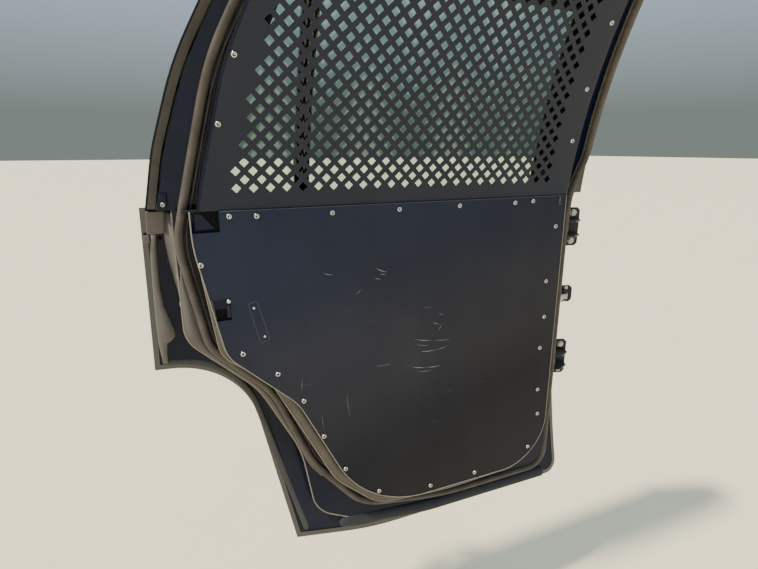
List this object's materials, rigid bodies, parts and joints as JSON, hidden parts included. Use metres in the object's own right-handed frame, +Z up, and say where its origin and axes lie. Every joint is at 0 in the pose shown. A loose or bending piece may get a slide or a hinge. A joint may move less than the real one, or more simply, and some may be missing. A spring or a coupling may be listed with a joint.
{
  "type": "vehicle rear door with window guard",
  "caption": "Hinged rear side door of a large utility vehicle, with glass, seals, latch, a perforated window guard and a flat riveted inner panel.",
  "frame": {"origin": "middle of the lower hinge's two pillar bolts, on the face of the hinge leaf that meets the pillar", "axes": "+X along the open door from its hinges to its rear edge, +Y towards its inner side, +Z up"},
  "size_m": [1.1448, 0.3131, 1.3514],
  "materials": {
    "body_paint": "gloss black paint, dusty",
    "powder_coat": "satin black powder coat, lightly scratched",
    "gloss_trim": "gloss",
    "matte_trim": "matte",
    "glass": "dark tinted",
    "rubber": "matte, dusty",
    "zinc_steel": "zinc plated",
    "hinge_paint": "body colour over steel"
  },
  "bodies": {
    "pillar_side": {"pillar_leaf_lower": "hinge_paint", "pillar_leaf_upper": "hinge_paint", "hinge_pin_lower": "zinc_steel", "hinge_pin_upper": "zinc_steel", "check_bracket": "hinge_paint"},
    "door": {"outer_skin": "body_paint", "inner_panel": "body_paint", "window_frame": "body_paint", "window_guard": "powder_coat", "lower_panel": "powder_coat", "belt_ledge": "body_paint", "division_bar": "gloss_trim", "pillar_cover": "gloss_trim", "corner_cap": "matte_trim", "door_glass": "glass", "quarter_glass": "glass", "glass_run": "rubber", "outer_belt_seal": "rubber", "inner_belt_seal": "rubber", "weatherstrip": "rubber", "secondary_seal": "rubber", "handle_gaskets": "rubber", "outer_handle": "gloss_trim", "latch": "zinc_steel", "check_box": "zinc_steel", "door_leaf_lower": "hinge_paint", "door_leaf_upper": "hinge_paint"},
    "check_arm": {"check_arm": "zinc_steel"}
  },
  "joints": [
    {"name": "door_swing", "type": "hinge", "parent": "pillar_side", "child": "door", "pos_m": [0.05478, 0.03267, 0], "axis": [0, 0, 1], "range_deg": [0, 72]},
    {"name": "check_pivot", "type": "hinge", "parent": "pillar_side", "child": "check_arm", "pos_m": [0.02055, 0.02134, 0.2], "axis": [0, 0, 1], "range_deg": [0, 36]}
  ],
  "couplings": [
    {"joint": "check_pivot", "follows": "door_swing", "ratio": 0.5}
  ]
}
